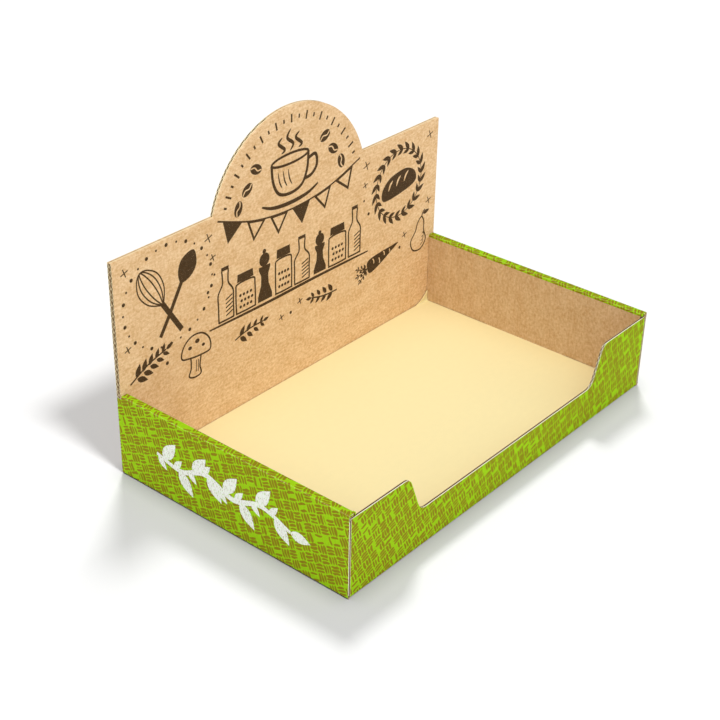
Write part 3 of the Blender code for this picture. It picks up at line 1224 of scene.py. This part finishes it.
def flap_height(x, half):
    """How high the sheet's back edge turns up at x."""
    share = max(0.0, (x - half) / FLAP_LENGTH + 1)
    return FLAP_LEAST + FLAP_RISE * share ** FLAP_SWEEP


def make_sheet():
    """The cream sheet on the base. Its back edge turns up at the back right corner."""
    half = WIDTH / 2 - LEDGE - SHEET_MARGIN
    front = DEPTH / 2 - PAST_FOLD - SHEET_MARGIN
    reach = DEPTH / 2 - PAST_HEADER - SHEET_MARGIN
    bm = bmesh.new()
    outline = rounded([
        (-half, -front, SHEET_RADIUS), (half, -front, SHEET_RADIUS),
        (half, reach), (-half, reach, SHEET_RADIUS),
    ])
    bm.faces.new([bm.verts.new((p.x, p.y, PAST_FOLD + SHEET)) for p in outline])
    stations = [half - FLAP_LENGTH * (1 - step / FLAP_STEPS) for step in range(FLAP_STEPS)]
    for at in (*SHEET_LINES_X, *stations):
        cut_across(bm, 0, 1, at)
    for at in (*SHEET_LINES_Y, reach - FLAP_ROOM):
        cut_across(bm, 1, 1, at)

    def turns_up(vert):
        return vert.co.y > reach - NUDGE and vert.co.x > stations[0] - NUDGE

    rim = [edge for edge in bm.edges if all(turns_up(vert) for vert in edge.verts)]
    base = {round(vert.co.x, 6): vert for edge in rim for vert in edge.verts}
    for vert in base.values():
        vert.co.y -= min(FLAP_BEND, flap_height(vert.co.x, half))
    for step in range(1, FLAP_STEPS + 1):
        share = step / FLAP_STEPS
        lean = FLAP_LEAN * min(1.0, share * FLAP_SNAP) ** FLAP_EASE
        made = bmesh.ops.extrude_edge_only(bm, edges=rim)["geom"]
        raised = [vert for vert in made if isinstance(vert, bmesh.types.BMVert)]
        edges = [edge for edge in made if isinstance(edge, bmesh.types.BMEdge)]
        rim = [edge for edge in edges if all(vert in raised for vert in edge.verts)]
        for vert in raised:
            height = flap_height(vert.co.x, half)
            foot = base[round(vert.co.x, 6)].co
            vert.co.z = foot.z + height * share
            vert.co.y = foot.y + min(FLAP_BEND, height) * lean
    map_blank(bm, lambda vert: (vert.co.x, vert.co.y + vert.co.z))
    bmesh.ops.recalc_face_normals(bm, faces=bm.faces)
    bmesh.ops.solidify(bm, geom=bm.faces[:], thickness=SHEET)
    bmesh.ops.recalc_face_normals(bm, faces=bm.faces)
    piece = add_mesh("cream_sheet", bm, (cream,))
    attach(piece, "liner")
    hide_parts("floor_liner")


# The stage

def make_floor():
    """The white floor under the tray, with a contact shadow painted into its colour near what stands on it.
    """
    f = Finish("white_floor", 0.9, 0.0)
    # An ambient occlusion node darkens the floor's colour near the tray: painted shade.
    painted_contact_shadow = f.add("AmbientOcclusion", {"Distance": CONTACT_SHADOW_REACH})["AO"]
    material = f.colour(f.mix(painted_contact_shadow, opaque([CONTACT_SHADOW_GREY] * 3), opaque([FLOOR_GREY] * 3)))
    bm = bmesh.new()
    bmesh.ops.create_grid(bm, x_segments=1, y_segments=1, size=FLOOR_HALF)
    bmesh.ops.translate(bm, verts=bm.verts, vec=(0, 0, -FLOOR_DROP))
    floor = add_mesh("floor", bm, (material,))
    return floor


def make_world():
    """A surround that is white where it is seen, and dimmer where it only gives light."""
    world = bpy.data.worlds.new("studio")
    bpy.context.scene.world = world
    world.use_nodes = True
    tree = world.node_tree
    background = tree.nodes["Background"]
    rays = add_node(tree, "ShaderNodeLightPath")
    either = {0: rays["Is Camera Ray"], 1: rays["Is Glossy Ray"]}
    seen = add_node(tree, "ShaderNodeMath", either, operation="MAXIMUM")[0]
    levels = {"Value": seen, "To Min": AMBIENT, "To Max": 1.0}
    strength = add_node(tree, "ShaderNodeMapRange", levels)[0]
    feed(tree, background.inputs["Color"], opaque([1.0] * 3))
    feed(tree, background.inputs["Strength"], strength)


def add_lamp(floor, name, toward, spread, level, part):
    """A lamp far off that way, spread over some degrees. level is what it gives a surface square
    on, and part says whether it lights the floor only or all but the floor."""
    lamp = bpy.data.lights.new(name, "SUN")
    lamp.angle = math.radians(spread)
    lamp.energy = level * math.pi
    obj = add_object(name, lamp)
    obj.location = Vector(toward)
    obj.rotation_euler = Vector(toward).to_track_quat("Z", "Y").to_euler()
    lit = bpy.data.collections.new(name)
    lit.objects.link(floor)
    lit.collection_objects[0].light_linking.link_state = part
    obj.light_linking.receiver_collection = lit


def make_camera():
    """The photograph's view, fitted to the tray's straight edges."""
    ahead = Vector(CAMERA_AHEAD).normalized()
    right = Vector(CAMERA_RIGHT)
    right = (right - ahead * right.dot(ahead)).normalized()
    above = right.cross(ahead)
    lens = bpy.data.cameras.new("camera")
    lens.sensor_width = SENSOR
    lens.lens = LENS
    camera = add_object("camera", lens)
    turned = Matrix((right, above, -ahead)).transposed().to_4x4()
    camera.matrix_world = Matrix.Translation(CAMERA_AT) @ turned
    bpy.context.scene.camera = camera


make_camera()
make_world()
floor = make_floor()
for lamp in LAMPS:
    add_lamp(floor, *lamp)
make_base()
make_front()
make_header()
make_side("left", -1, vine_print(), (make_white_brush(),))
make_side("right", 1, (), ())
make_sheet()

bpy.context.scene.view_settings.view_transform = "Standard"
